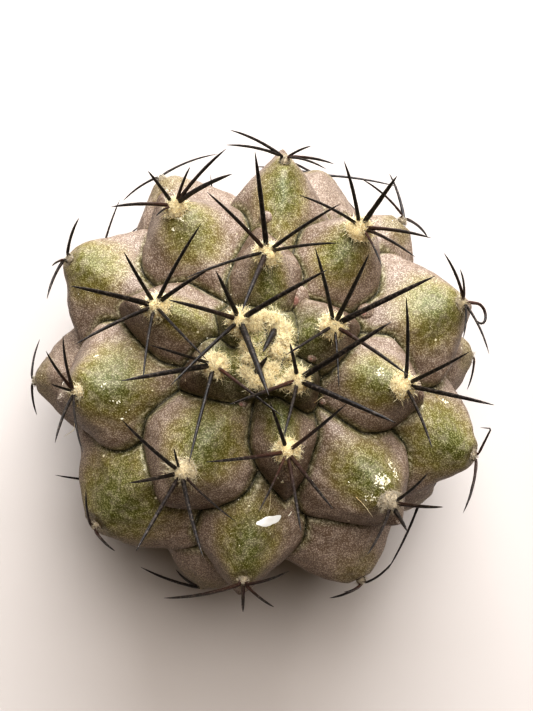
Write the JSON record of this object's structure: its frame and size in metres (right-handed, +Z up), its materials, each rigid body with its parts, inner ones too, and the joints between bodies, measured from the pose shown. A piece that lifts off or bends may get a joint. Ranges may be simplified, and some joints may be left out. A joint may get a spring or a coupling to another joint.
{
  "type": "copiapoa cactus",
  "caption": "Young globular cactus with large pointed tubercles in opposite pairs, each tipped with a woolly areole and a star of dark spines; cut flat under its corky neck.",
  "frame": {"origin": "centre of the flat cut under the neck", "axes": "+Z up along the plant's middle line, from the cut to the crown; -Y towards the lower edge of the picture"},
  "size_m": [0.0584, 0.0604, 0.0528],
  "materials": {
    "body skin": "waxy matte skin, olive green to mauve grey",
    "crown wool": "fluffy cream wool",
    "spines": "smooth hard spines, black to dark brown"
  },
  "bodies": {
    "root": {"body": "body skin", "crown_wool": "crown wool", "areole_01": "spines", "areole_02": "spines", "areole_03": "spines", "areole_04": "spines", "areole_05": "spines", "areole_06": "spines", "areole_07": "spines", "areole_08": "spines", "areole_09": "spines", "areole_10": "spines", "areole_11": "spines", "areole_12": "spines", "areole_13": "spines", "areole_14": "spines", "areole_15": "spines", "areole_16": "spines", "areole_17": "spines", "areole_18": "spines", "areole_19": "spines", "areole_20": "spines", "areole_21": "spines", "areole_22": "spines", "areole_23": "spines", "areole_24": "spines", "areole_25": "spines", "areole_26": "spines", "areole_27": "spines", "areole_28": "spines", "areole_29": "spines", "areole_30": "spines", "areole_31": "spines", "areole_32": "spines"}
  },
  "joints": []
}
